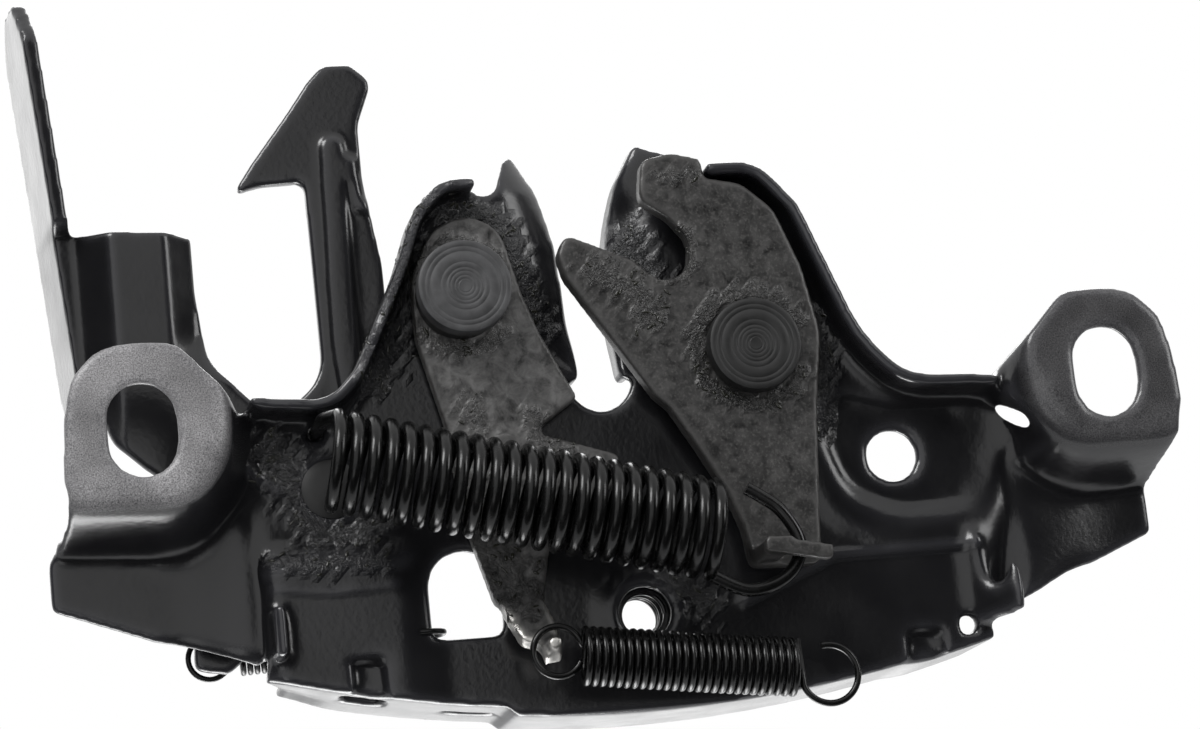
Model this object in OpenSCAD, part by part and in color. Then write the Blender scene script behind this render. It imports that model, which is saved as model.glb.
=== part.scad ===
// Bonnet latch: stamped plate with a forked catch, a pawl, a safety lever and three springs.
// X runs across the plate, Z is up as fitted, and the front of the plate faces -Y.
// The origin is the centre of the latched striker, on the front face of the plate.

/* [Sheet] */
// Thickness of the stamped plate
sheet_t = 2; // [1.6:0.1:2.4]
// Depth of the forward lips round the humps
lip_d = 7; // [6:0.5:9]
// Thickness of the forward lips
lip_t = 1.8; // [1.4:0.1:2.2]
// Depth of the turned-back bottom flange
flange_d = 18; // [14:1:22]
// Depth of the pressed pockets
pocket_d = 0.8; // [0.5:0.1:1]
// How far the wings sit behind the front of the plate
wing_set = 3; // [2:0.5:4]

/* [Striker slot] */
// Width of the striker slot at its bottom
slot_w = 10.4; // [9:0.2:12]
// Extra width of the slot at its mouth
slot_flare = 3; // [2:0.5:4]
// Height of the horns above the striker centre
horn_z = 38; // [36:0.5:40]
// Depth of the turned-back slot edges
slot_edge_d = 4; // [3:0.5:4.5]

/* [Ears] */
// Place of the left ear's slot across the plate
ear_left_x = -74; // [-78:0.5:-73]
// Place of the right ear's slot across the plate
ear_right_x = 81; // [80:0.5:84]
// Height of both ear slots
ear_z = -6; // [-7:0.5:-5]
// How far the ears stand in front of the plate
ear_rise = 11; // [9:0.5:13]
// Width of the ear slots
ear_slot_w = 10.4; // [9:0.2:11.5]
// Length of the ear slots
ear_slot_l = 14.4; // [12:0.2:16]

/* [Holes] */
// Diameter of the round locating hole
hole_d = 8.2; // [6:0.2:10]
// Across-flats size of the weld nut
nut_af = 13; // [12:0.5:14]
// Height of the weld nut
nut_h = 6.5; // [5:0.5:8]
// Bore of the weld nut
nut_bore_d = 6.8; // [6:0.1:7.5]

/* [Catch] */
// Thickness of the catch's front plate
catch_t = 3.5; // [3:0.1:4.2]
// Place of the catch pivot across the plate
catch_x = 23.7; // [23.4:0.1:24]
// Height of the catch pivot
catch_z = 2; // [1.7:0.1:2.3]
// Length of the catch's spring lug
catch_lug_l = 11; // [10.5:0.25:12]
// Diameter of the stud that the pawl holds
stud_d = 3.2; // [2.6:0.1:3.2]
// Distance of that stud from the catch pivot
stud_r = 26.7; // [26.3:0.1:26.7]

/* [Pawl] */
// Thickness of the pawl
pawl_t = 2.5; // [2:0.1:2.8]
// Place of the pawl pivot across the plate
pawl_x = -22; // [-22.3:0.1:-21.7]
// Height of the pawl pivot
pawl_z = 14; // [13.7:0.1:14.3]
// How far the pawl's spring tongue leans forward
pawl_lug_l = 7; // [5:0.5:8]

/* [Safety lever] */
// Thickness of the safety lever's sheet
lever_t = 2.5; // [2:0.1:3]
// Place of the safety lever pivot across the plate
lever_x = -44.5; // [-45:0.1:-44]
// Height of the safety lever pivot
lever_z = -15; // [-15.5:0.1:-14.5]
// Gap between the plate's back and the safety lever
lever_gap = 5; // [4.5:0.5:7]
// Depth of the handle blade behind the lever's front
blade_d = 18; // [14:1:22]
// Height of the handle's top above the striker centre
handle_z = 72; // [64:1:78]
// Lean of the handle blade away from the plate
blade_lean = 5; // [0:1:8]
// Splay of the handle blade behind the plate
blade_splay = 7; // [0:1:12]

/* [Rivets] */
// Diameter of the large rivet heads
head_d = 15; // [13:0.5:16]
// Height of the large rivet heads
head_h = 3; // [2:0.5:4]
// Diameter of the pivot shanks
shank_d = 10; // [8:0.5:10.5]
// Diameter of the rivet tails in the plate
tail_d = 7.6; // [6:0.2:8]
// Diameter of the peened rear heads
peen_d = 12; // [10:0.5:13]
// Height of the peened rear heads
peen_h = 2; // [1.6:0.1:2.2]
// Thickness of the washer behind the safety lever
washer_t = 1.4; // [1:0.1:1.8]

/* [Springs] */
// Outer diameter of the catch spring
big_od = 16.6; // [14:0.2:16.8]
// Wire diameter of the catch spring
big_wire = 2.1; // [1.4:0.1:2.2]
// Turns of the catch spring
big_turns = 22.5; // [16.5:1:22.5]
// Outer diameter of the pawl spring
small_od = 9.4; // [8:0.2:9.6]
// Wire diameter of the pawl spring
small_wire = 1.05; // [0.8:0.05:1.1]
// Turns of the pawl spring
small_turns = 27; // [20:1:27]
// Outer diameter of the safety spring
rear_od = 6.4; // [5.6:0.2:6.6]
// Wire diameter of the safety spring
rear_wire = 0.9; // [0.7:0.05:1]
// Turns of the safety spring
rear_turns = 20; // [16:1:22]

/* [Fits] */
// Radial running clearance of the pivots
pivot_gap = 0.05; // [0.02:0.01:0.1]
// Gap between sliding faces
layer_gap = 0.3; // [0.2:0.05:0.4]

/* [Hidden] */
$fn = 48;
eps = 0.01;

// Levels along Y, front faces negative
pawl_back = -layer_gap;
pawl_front = pawl_back - pawl_t;
catch_back = pawl_front - layer_gap;
catch_front = catch_back - catch_t;
head_back = catch_front - layer_gap;
head_front = head_back - head_h;
ear_front = -ear_rise;
wing_back = wing_set + sheet_t;
lever_front = sheet_t + lever_gap;
lever_back = lever_front + lever_t;

// Places across the plate
panel_left_x = -57;
panel_right_x = 60;
panel_end_z = -44.5;
panel_mid_z = -52.5;
panel_sag = panel_end_z - panel_mid_z;
panel_half = (panel_right_x - panel_left_x) / 2;
panel_mid_x = (panel_right_x + panel_left_x) / 2;
panel_r = (panel_half * panel_half + panel_sag * panel_sag) / (2 * panel_sag);
panel_arc = asin(panel_half / panel_r);
nut_x = 3.3;
nut_z = -38.3;
hole_x = 47;
hole_z = -15.5;
window_x = -25;
window_w = 11.2;
window_top_z = -26.5;
window_bottom_z = -40;
window_left_x = window_x - window_w / 2;
window_right_x = window_x + window_w / 2;
window_top_r = 5.4;
wing_top_z = -23;
wing_root_z = -17;
wing_root_l = 12;
ear_wall_in = 6;
ear_wall_low = 8.8;
ear_wall_end = 6.8;
ear_flare_left = 1.8;
ear_flare_right = -3.6;
ear_shift = 1.1;
wing_left_x = ear_left_x - 15;
wing_right_x = ear_right_x + 9;
wing_low_z = -30.8;
wing_in_z = panel_end_z + 1.5;
collar_h = 0.8;
bead_w = 4.6;
bead_h = 0.5;
lug_t = 2.4;
lug_head_w = 10.8;
lug_head_t = 2.2;
hook_rib_h = 0.9;
hook_rib_w = 3.4;
hook_rib_x = -38.8;
hook_rib_z = 42.4;
front_peen_h = 1.6;

// A point at distance r and angle a from c
function polar(c, r, a) = c + r * [cos(a), sin(a)];
// Points along an arc, in order from angle a to angle b
function arc(c, r, a, b, n) = [for (i = [0 : n]) polar(c, r, a + (b - a) * i / n)];
function unit(v) = v / norm(v);
function turned(v) = [-v[1], v[0]];
// One corner of an outline, rounded to radius r with short chords
function corner(p, q, s, r) =
    let (u = unit(p - q), w = unit(s - q), half = acos(max(-1, min(1, u * w))) / 2)
    let (reach = min(r / tan(half), norm(p - q) * 0.48, norm(s - q) * 0.48))
    let (rr = reach * tan(half), mid = unit(u + w), c = q + mid * (rr / sin(half)))
    let (a = q + u * reach, b = q + w * reach, steps = max(2, ceil((180 - 2 * half) / 11)))
    let (a0 = atan2(a[1] - c[1], a[0] - c[0]), a1 = atan2(b[1] - c[1], b[0] - c[0]))
    let (span = a1 - a0, swing = span > 180 ? span - 360 : span < -180 ? span + 360 : span)
    [for (i = [0 : steps]) polar(c, rr, a0 + swing * i / steps)];
// An outline of [x, z, r] points with every corner rounded
function rounded(pts) =
    let (n = len(pts), xy = [for (p = pts) [p[0], p[1]]])
    [for (i = [0 : n - 1])
        each (pts[i][2] > 0 ? corner(xy[(i + n - 1) % n], xy[i], xy[(i + 1) % n], pts[i][2]) : [xy[i]])];
// An open path of [x, z, r] points with its inner corners rounded
function rounded_path(pts) =
    let (n = len(pts), xy = [for (p = pts) [p[0], p[1]]])
    [for (i = [0 : n - 1])
        each (i > 0 && i < n - 1 ? corner(xy[i - 1], xy[i], xy[i + 1], pts[i][2]) : [xy[i]])];
// The line beside an open path, moved by t to its left
function beside(path, t) =
    let (n = len(path))
    [for (i = [0 : n - 1])
        let (d0 = unit(path[max(i, 1)] - path[max(i, 1) - 1]))
        let (d1 = unit(path[min(i + 1, n - 1)] - path[min(i, n - 2)]))
        let (m = unit(turned(d0) + turned(d1)))
        path[i] + m * (t / (m * turned(d0)))];
function reversed(list) = [for (i = [len(list) - 1 : -1 : 0]) list[i]];
function mirrored(path) = [for (p = path) [-p[0], p[1]]];
// A closed outline that follows an open path with thickness t on its left
function strip(path, t) = concat(path, reversed(beside(path, t)));

// Paths along the plate's edge, all in the plane of the sheet
lip_left = rounded_path([[panel_left_x, -1, 0], [-44.4, -2.2, 6], [-40, 2.6, 5], [-32.3, 18, 30],
                         [-29, 27, 9], [-24, 32.4, 6], [-18.1, 32.5, 0]]);
lip_right = rounded_path([[19.6, 33, 0], [28, 33, 7], [34.2, 25.5, 7], [37.1, 17.6, 20], [42.1, 4, 20],
                          [48.5, -3.6, 9], [64.5, -4.6, 0]]);
slot_side = rounded_path([[11.6, horn_z, 0], [slot_w / 2 + slot_flare, 32, 3],
                          [slot_w / 2 + slot_flare / 4, 23, 20], [slot_w / 2, 6, 20], [slot_w / 2, 0, 0]]);
slot_bottom = arc([0, 0], slot_w / 2, 180, 360, 18);
panel_centre = [panel_mid_x, panel_mid_z + panel_r];
panel_bottom = arc(panel_centre, panel_r, 270 + panel_arc, 270 - panel_arc, 24);
sheet_outline = concat(lip_left, [[-16.3, 31.2], [-14, 31.8]], mirrored(slot_side), slot_bottom,
                       reversed(slot_side), [[17.4, 36]], lip_right, [[64.5, -5], [64.5, -26]], panel_bottom);
pocket_left = rounded([[lever_x - 12, -4.5, 3], [lever_x + 6.5, -5, 6], [lever_x + 12, -14, 8],
                       [lever_x + 8.5, -21, 6], [lever_x + 0.5, -24.6, 8], [lever_x - 12, -23.8, 3]]);
pocket_right = rounded([[37, -4, 4], [35.4, -12, 8], [38.5, -21, 8], [47, -24.6, 8], [58, -24.2, 8],
                        [63.2, -21.5, 3], [63.2, -7.2, 2], [47.5, -7.2, 4]]);
window_outline = rounded([[window_left_x, window_bottom_z, 1], [window_left_x, window_top_z, window_top_r],
                          [window_right_x, window_top_z, window_top_r], [window_right_x, window_bottom_z, 1]]);
bead_left = rounded_path([[-57, -26, 0], [-46, -27.6, 20], [-38, -27.2, 10], [-33.6, -25.2, 0]]);
bead_right = rounded_path([[33.6, -6, 0], [33.4, -15, 10], [36.6, -24, 8], [45, -28.2, 12], [57, -28.4, 12],
                           [63.4, -26.2, 0]]);
tab_outline = [[0, 0], [8.6, 1.4], [9.2, 9], [7, 11], [6.4, 8.4], [5.4, 6.8], [4, 6.6], [3, 8], [2.4, 16],
               [0, 16.5]];

// Edges of an ear's flat face, measured from the slot's centre with x outwards
ear_edge = rounded_path([[-11.5, 7.6, 0], [-12.6, 2, 5], [-12, -4.6, 6], [-6.5, -10.4, 7], [12.6, -10.8, 0]]);
ear_rim = rounded_path([[12.6, -10.8, 0], [11.9, 2, 10], [10.4, 8.6, 6], [6, 13.2, 7], [0, 13.9, 10],
                        [-6, 13.4, 4], [-11.5, 7.6, 0]]);
ear_face = concat(ear_edge, [for (i = [1 : len(ear_rim) - 2]) ear_rim[i]]);
ear_trim = [[-11.4, 7.7], [-16.8, 1.8], [-30, 1.8], [-30, 30], [-11.4, 30]];
ear_rings = 8;
ear_sink = 0.25;

// Outlines of the moving pieces
catch_outline = rounded([[9, 34, 2], [14, 35, 3], [18.8, 33.8, 1], [19.2, 30.6, 1], [25, 29.4, 4], [30, 25, 7],
                         [33.6, 15, 12], [35.5, 4, 12], [33.5, -8, 14], [32, -24, 8], [31.2, -33.4, 1.5],
                         [20, -33.2, 1.5], [19.2, -27, 4], [17.4, -21.6, 6], [13.5, -14, 12], [9.4, -6.8, 2],
                         [7.2, -4.7, 1], [-5.3, 15.4, 2], [-6.2, 19, 1.5], [-4.6, 22.4, 1.5], [6, 17.6, 3],
                         [10.4, 13.6, 3], [14.8, 15.2, 3.5], [15.6, 20.4, 4], [12.4, 24.4, 3], [8, 27.4, 2.5]]);
pawl_outline = rounded([[-29.4, 17.6, 6], [-25.4, 25.2, 6], [-20, 27.6, 6], [-14.4, 25, 6], [-11.8, 14, 10],
                        [-9.6, 7.4, 6],
                        [-4.5, -3.5, 0.8], [-12, -8.7, 1], [1.6, -13.2, 1.2], [-0.5, -18.5, 4], [-11, -25, 8],
                        [-13.4, -37, 1], [-20.8, -36, 1.5], [-24.6, -22, 10], [-26, -7, 10], [-29.6, 8, 12]]);
lever_outline = rounded([[-39.2, 56.4, 2.5], [-34.6, 56.4, 2], [-31.2, 53.4, 2.5], [-34.2, 46, 6],
                         [-34.2, 37, 12], [-32.2, 22.5, 20], [-32, -6, 12], [-33, -24, 10], [-45, -27, 8],
                         [-62, -42, 2], [-67.5, -41, 1.5], [-67, -35.5, 2], [-55, -24, 6], [-62, -16, 8],
                         [-72, -9, 5], [-77.4, -4, 6], [-80.8, 8, 8], [-82.6, 30.8, 1], [-63.3, 29.6, 1],
                         [-61.2, 8, 8], [-52, -2, 8], [-43.4, 4, 8], [-43.7, 37, 1.4], [-51.9, 36.5, 10],
                         [-55.6, 35.2, 0.8], [-51.9, 40.5, 10], [-45.4, 48.8, 20], [-41.8, 53.8, 8]]);

tongue_outline = [[-0.3, -0.1], [6.4, -0.1], [8.2, -7], [8.4, -13.8], [5.6, -14.2], [5.2, -11.6], [2.4, -10.4],
                  [1, -6]];

// Pieces of the springs that are not coil
big_from = [-46.2, catch_front - 7, -13.2];
big_to = [12.8, catch_front - 7, -28.2];
small_from = [-9.1, pawl_front - 6.3, -45.6];
small_to = [24.5, pawl_front - 6.3, -50];
rear_from = [-60, lever_back + 3, -38.6];
rear_to = [-38, lever_back + 3, -37.8];

// Raises a flat outline, drawn in X and Z, between two levels along Y
module plate(front, back) {
    translate([0, back, 0])
        rotate([90, 0, 0])
            linear_extrude(back - front)
                children();
}
// A round pin along Y between two levels
module pin(x, z, d, front, back) {
    translate([x, back, z])
        rotate([90, 0, 0])
            cylinder(d = d, h = back - front);
}
module slot_cut(x, z, w, l, front, back) {
    pin(x, z + (l - w) / 2, w, front, back);
    pin(x, z - (l - w) / 2, w, front, back);
    translate([x - w / 2, front, z - (l - w) / 2])
        cube([w, back - front, l - w]);
}
// Drawn wall of an ear: a smooth S from its flat face down to the plate inside and the wing below
module ear_wall(flare) {
    n = len(ear_edge);
    low = [for (i = [0 : n - 1]) max(0, min(1, (i / (n - 1) - 0.35) / 0.3))];
    width = [for (i = [0 : n - 1])
        i == n - 1 ? ear_wall_end : ear_wall_in + (ear_wall_low - ear_wall_in) * low[i]];
    out = [for (i = [0 : n - 1]) i == n - 1 ? flare : 0];
    foot = [for (t = low) ear_sink + wing_set * t];
    rings = [for (k = [0 : ear_rings]) k / ear_rings];
    front = [for (t = rings, i = [0 : n - 1])
        let (p = beside(ear_edge, -t * width[i])[i], rise = t * t * (3 - 2 * t))
        [p[0] + out[i] * t, ear_front + eps + (foot[i] - ear_front) * rise, p[1]]];
    back = [for (t = rings, i = [0 : n - 1])
        let (p = beside(ear_edge, ear_shift - t * width[i])[i], rise = t * t * (3 - 2 * t))
        [p[0] + out[i] * t, ear_front - eps + sheet_t + (foot[i] - ear_front) * rise, p[1]]];
    count = n * (ear_rings + 1);
    skin = [for (k = [0 : ear_rings - 1], i = [0 : n - 2])
        let (a = k * n + i, b = a + 1, c = a + n, d = a + n + 1)
        each [[a, b, c], [b, d, c], [a + count, c + count, b + count], [b + count, c + count, d + count]]];
    ends = [for (k = [0 : ear_rings - 1], i = [0, n - 1])
        let (a = k * n + i, c = a + n)
        each (i == 0 ? [[a, c, a + count], [c, c + count, a + count]]
                     : [[a, a + count, c], [c, a + count, c + count]])];
    rims = [for (i = [0 : n - 2], k = [0, ear_rings])
        let (a = k * n + i, b = a + 1)
        each (k == 0 ? [[a, a + count, b], [b, a + count, b + count]]
                     : [[a, b, a + count], [b, b + count, a + count]])];
    difference() {
        polyhedron(concat(front, back), concat(skin, ends, rims));
        plate(ear_front - 1, wing_back + 6) polygon(ear_trim);
    }
}
module ear(x, side, flare) {
    translate([x, 0, ear_z])
        mirror([side < 0 ? 1 : 0, 0, 0]) {
            difference() {
                plate(ear_front, ear_front + sheet_t) polygon(ear_face);
                slot_cut(0, 0, ear_slot_w, ear_slot_l, ear_front - 1, ear_front + sheet_t + 1);
            }
            ear_wall(flare);
        }
}
// Flat wing that runs from an ear down to the end of the lower panel
module wing(x_out, x_in) {
    x_wall = x_in - sign(x_out) * sheet_t;
    x_root = x_in + sign(x_out) * wing_root_l;
    plate(wing_set, wing_back)
        polygon([[x_out, wing_top_z], [x_out, wing_low_z], [x_in, wing_in_z], [x_wall, wing_in_z],
                 [x_wall, wing_root_z], [x_root, wing_root_z], [x_root, wing_top_z]]);
    translate([min(x_in, x_wall), 0, wing_in_z])
        cube([sheet_t, wing_back, wing_top_z - wing_in_z]);
}
module lips() {
    plate(-lip_d, sheet_t) polygon(strip(lip_left, -lip_t));
    plate(-lip_d, sheet_t) polygon(strip(lip_right, -lip_t));
}
module slot_edges() {
    for (path = [strip(slot_side, -sheet_t), mirrored(strip(slot_side, -sheet_t))])
        plate(0, sheet_t + slot_edge_d) polygon(path);
}
module bottom_flange() {
    plate(0, sheet_t + flange_d) polygon(strip(panel_bottom, sheet_t));
}
// Hooked tab that stands forward at the right end of the lower panel
module end_tab() {
    translate([panel_right_x - 1.6, 1, panel_end_z])
        rotate([0, 0, -45])
            plate(-sheet_t, 0) polygon(tab_outline);
}
// Short lip that stands forward at the left end of the lower panel
module end_lip() {
    translate([panel_left_x + 1, -lip_d, panel_end_z + 0.5])
        cube([lip_t, lip_d + sheet_t / 2, 10]);
}
module bead(path) {
    plate(-bead_h, sheet_t / 2) polygon(strip(beside(path, -bead_w / 2), bead_w));
}
module pressed_sheet() {
    difference() {
        union() {
            plate(0, sheet_t) polygon(sheet_outline);
            plate(sheet_t - eps, sheet_t + pocket_d) polygon(pocket_left);
            plate(sheet_t - eps, sheet_t + pocket_d) polygon(pocket_right);
            lips();
            slot_edges();
            bottom_flange();
            end_tab();
            end_lip();
            ear(ear_left_x, -1, ear_flare_left);
            ear(ear_right_x, 1, ear_flare_right);
            wing(wing_left_x, panel_left_x);
            wing(wing_right_x, panel_right_x);
            bead(bead_left);
            bead(bead_right);
            pin(nut_x, nut_z, nut_af, -collar_h, sheet_t);
        }
        plate(-eps, pocket_d) polygon(pocket_left);
        plate(-eps, pocket_d) polygon(pocket_right);
    }
}
module base_plate() {
    color("#1b1c1e")
        difference() {
            pressed_sheet();
            pin(big_from[0], big_from[2] + (big_od - big_wire) / 2, big_wire + 0.6, -1, sheet_t + 2);
            translate([66.4, 0, -11.4]) rotate([0, -50, 0]) slot_cut(0, 0, 1.8, 5.4, -12, 8);
            pin(hole_x, hole_z, hole_d, -1, sheet_t + 2);
            pin(nut_x, nut_z, nut_bore_d + 1.6, -2, sheet_t + 1);
            plate(-1, sheet_t + 1) polygon(window_outline);
            translate([-44, -1, -46.4]) cube([5.4, 2.2, 4.2]);
            translate([-45, sheet_t + 2, -60]) cube([6.4, 5, 20]);
            translate([-29, sheet_t + 7, -60]) cube([8, 1.6, 20]);
            for (p = [[catch_x, catch_z], [pawl_x, pawl_z], [lever_x, lever_z]])
                pin(p[0], p[1], tail_d + 2 * pivot_gap, -1, sheet_t + 2);
        }
}
module weld_nut() {
    color("#2a2b2d")
        difference() {
            translate([nut_x, sheet_t + nut_h, nut_z])
                rotate([90, 0, 0])
                    cylinder(d = nut_af / cos(30), h = nut_h, $fn = 6);
            pin(nut_x, nut_z, nut_bore_d, sheet_t - 1, sheet_t + nut_h + 1);
        }
}
module catch() {
    stud = polar([catch_x, catch_z], stud_r, 150);
    color("#2b2b2c")
        difference() {
            union() {
                plate(catch_front, catch_back) polygon(catch_outline);
                pin(catch_x, catch_z, head_d + 3, catch_back - eps, -layer_gap);
                pin(stud[0], stud[1], stud_d, catch_back - eps, -layer_gap);
                translate([20.2, catch_front - catch_lug_l, -32.8]) cube([4, catch_lug_l + eps, lug_t]);
                translate([25, catch_front - catch_lug_l, -32.4])
                    rotate([0, 12, 0])
                        translate([-lug_head_w / 2, 0, -lug_t / 2])
                            cube([lug_head_w, lug_head_t, lug_t]);
            }
            pin(catch_x, catch_z, shank_d + 2 * pivot_gap, catch_front - 1, 1);
        }
}
module pawl() {
    color("#2f2f30")
        difference() {
            union() {
                plate(pawl_front, pawl_back) polygon(pawl_outline);
                translate([-20.6, pawl_front + 0.3, -33])
                    rotate([-atan2(pawl_lug_l, 12), 0, 0])
                        plate(0, pawl_t) polygon(tongue_outline);
                pin(-13.4, -43.4, 2.2, pawl_front - pawl_lug_l - 0.6, pawl_front - 3);
            }
            pin(pawl_x, pawl_z, shank_d + 2 * pivot_gap, pawl_front - 1, 1);
        }
}
module blade() {
    foot_z = 8;
    top = handle_z - foot_z;
    translate([-79.7, lever_front, foot_z])
        rotate([0, -blade_lean, 0])
            rotate([0, 0, blade_splay])
                translate([-lever_t, 0, 0])
                    rotate([90, 0, 90])
                        linear_extrude(lever_t)
                            polygon(rounded([[0, -10, 3], [blade_d, -4, 6], [blade_d, top - 6, 6],
                                             [blade_d - 5, top, 4], [5, top, 3], [0, top - 7, 3]]));
}
module safety_lever() {
    color("#18191b")
        difference() {
            union() {
                plate(lever_front, lever_back) polygon(lever_outline);
                blade();
                translate([-64.9, lever_front, 10]) cube([lever_t, 8, 19.4]);
                translate([-66.5, lever_back - eps, -40.2]) cube([2, 6, 3.2]);
                pin(hook_rib_x, hook_rib_z, hook_rib_w, lever_front - hook_rib_h, lever_back);
                plate(lever_front - hook_rib_h, lever_back) {
                    polygon([[hook_rib_x - hook_rib_w / 2, hook_rib_z], [hook_rib_x + hook_rib_w / 2, hook_rib_z],
                             [-37.6, 10], [-37.2, 0], [-40.6, 0], [-41.4, 10]]);
                    polygon([[-36.6, 40.6], [-35.4, 40.2], [-34.9, 34], [-33.8, 32.8], [-33.8, 31], [-36, 31.8]]);
                }
            }
            pin(lever_x, lever_z, shank_d + 2 * pivot_gap, lever_front - 2, lever_back + 1);
        }
}
// Pivot rivet with a turned head in front and a peened head behind
module front_rivet(x, z) {
    difference() {
        pin(x, z, head_d, head_front, head_back);
        for (r = [3.1, 5.6])
            plate(head_front - eps, head_front + 0.25)
                translate([x, z])
                    difference() {
                        circle(r = r);
                        circle(r = r - 0.35);
                    }
    }
    pin(x, z, shank_d, head_back - eps, 0);
    pin(x, z, tail_d, -eps, sheet_t + eps);
    pin(x, z, peen_d, sheet_t, sheet_t + peen_h);
}
module catch_rivet() {
    color("#3a3a3b") front_rivet(catch_x, catch_z);
}
module pawl_rivet() {
    color("#3a3a3b") front_rivet(pawl_x, pawl_z);
}
module pawl_spacer() {
    color("#1f1f20")
        difference() {
            pin(pawl_x, pawl_z, head_d - 1, head_back, pawl_front - layer_gap / 2);
            pin(pawl_x, pawl_z, shank_d + 2 * pivot_gap, head_back - 1, pawl_front + 1);
        }
}
module safety_rivet() {
    seat = sheet_t + pocket_d;
    washer_back = lever_back + washer_t + layer_gap;
    color("#3a3a3b") {
        pin(lever_x, lever_z, peen_d, pocket_d - front_peen_h, pocket_d);
        pin(lever_x, lever_z, tail_d, pocket_d - eps, seat + eps);
        pin(lever_x, lever_z, shank_d + 3, seat, lever_front - layer_gap);
        pin(lever_x, lever_z, shank_d, lever_front - 1, washer_back);
        pin(lever_x, lever_z, head_d, washer_back - eps, washer_back + head_h);
    }
}
module safety_washer() {
    front = lever_back + layer_gap / 2;
    color("#6d6f72")
        difference() {
            pin(lever_x, lever_z, head_d + 2, front, front + washer_t);
            pin(lever_x, lever_z, shank_d + 2 * pivot_gap, front - 1, front + washer_t + 1);
        }
}

// Points of a coil about the line from a to b, with its first turn angle
function coil(a, b, r, turns, start, per_turn) =
    let (axis = unit(b - a), up = unit(cross([0, 1, 0], axis)), side = cross(axis, up))
    let (n = ceil(turns * per_turn))
    [for (i = [0 : n])
        let (w = start + 360 * turns * i / n)
        a + (b - a) * i / n + r * (cos(w) * up + sin(w) * side)];
// A smooth path through a list of points
function smooth(p, n) =
    let (m = len(p))
    [for (i = [0 : m - 2], k = [0 : n - 1])
        let (a = p[max(i - 1, 0)], b = p[i], c = p[i + 1], d = p[min(i + 2, m - 1)], t = k / n)
        let (square = 2 * a - 5 * b + 4 * c - d, cube = 3 * b - a - 3 * c + d)
        0.5 * (2 * b + (c - a) * t + square * t * t + cube * t * t * t)];
function ring_in_plane(c, r, a, b, n) =
    [for (i = [0 : n]) let (w = a + (b - a) * i / n) c + r * [cos(w), 0, sin(w)]];
// Round wire along a path, with its section carried along without twist
module wire(path, d, sides) {
    n = len(path);
    tangent = [for (i = [0 : n - 1]) unit(path[min(i + 1, n - 1)] - path[max(i - 1, 0)])];
    first = unit(cross(tangent[0], abs(tangent[0][1]) < 0.9 ? [0, 1, 0] : [1, 0, 0]));
    normals = [for (i = 0, v = first; i < n; i = i + 1,
                    v = i < n ? unit(v - (v * tangent[i]) * tangent[i]) : v) v];
    rings = [for (i = [0 : n - 1])
        let (u = normals[i], w = cross(tangent[i], u))
        each [for (k = [0 : sides - 1])
            path[i] + d / 2 * (cos(360 * k / sides) * u + sin(360 * k / sides) * w)]];
    skin = [for (i = [0 : n - 2], k = [0 : sides - 1])
        let (a = i * sides + k, b = i * sides + (k + 1) % sides)
        each [[a, a + sides, b], [b, a + sides, b + sides]]];
    caps = [[for (k = [0 : sides - 1]) k], [for (k = [sides - 1 : -1 : 0]) (n - 1) * sides + k]];
    polyhedron(rings, concat(skin, caps));
}
module catch_spring() {
    y = big_from[1];
    x = big_from[0];
    top = big_from[2] + (big_od - big_wire) / 2;
    left = [[x - 0.3, 5.3, top + 3.2], [x - 0.2, 5.1, top + 1.2], [x, 3.4, top + 0.1], [x, -3, top],
            [x, -9, top]];
    right = [[16.4, y, -37.8], [20.7, y, -37.5], [24.3, y, -35.4], [26, y, -32.2], [25.6, y, -29.2],
             [23.4, y, -25.6], [20.7, y, -23.4], [18.3, y, -21.8]];
    body = coil(big_from, big_to, (big_od - big_wire) / 2, big_turns, 180, 14);
    color("#141516")
        wire(concat(smooth(concat(left, [body[0]]), 4), body, smooth(concat([body[len(body) - 1]], right), 4)),
             big_wire, 8);
}
module pawl_spring() {
    y = small_from[1];
    r = (small_od - small_wire) / 2;
    body = coil(small_from, small_to, r, small_turns, 180, 10);
    left = ring_in_plane([-13, y, -44.6], 3.9, 330, 10, 10);
    right = ring_in_plane([29.6, y, -51.4], 4.6, 200, 460, 14);
    color("#141516")
        wire(concat(left, body, right), small_wire, 6);
}
module safety_spring() {
    y = rear_from[1];
    r = (rear_od - rear_wire) / 2;
    body = coil(rear_from, rear_to, r, rear_turns, 180, 10);
    left = ring_in_plane([-64.6, y, -38.6], 3.3, 330, 20, 10);
    right = [[-34, y - 1, -38.4], [-29.3, 5, -38.7], [-28.9, 0.6, -38.8], [-30.4, -0.9, -38.8],
             [-33, -0.9, -38.8]];
    color("#141516")
        wire(concat(left, body, smooth(concat([body[len(body) - 1]], right), 4)), rear_wire, 6);
}

base_plate();
weld_nut();
catch();
pawl();
safety_lever();
catch_rivet();
pawl_rivet();
safety_rivet();
pawl_spacer();
safety_washer();
catch_spring();
pawl_spring();
safety_spring();
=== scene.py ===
"""Looks of the bonnet latch: stamped skins, turned rivets, wound springs, grease and the studio."""
import math

import bmesh
import bpy
import numpy as np
from mathutils import Matrix, Vector


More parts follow.
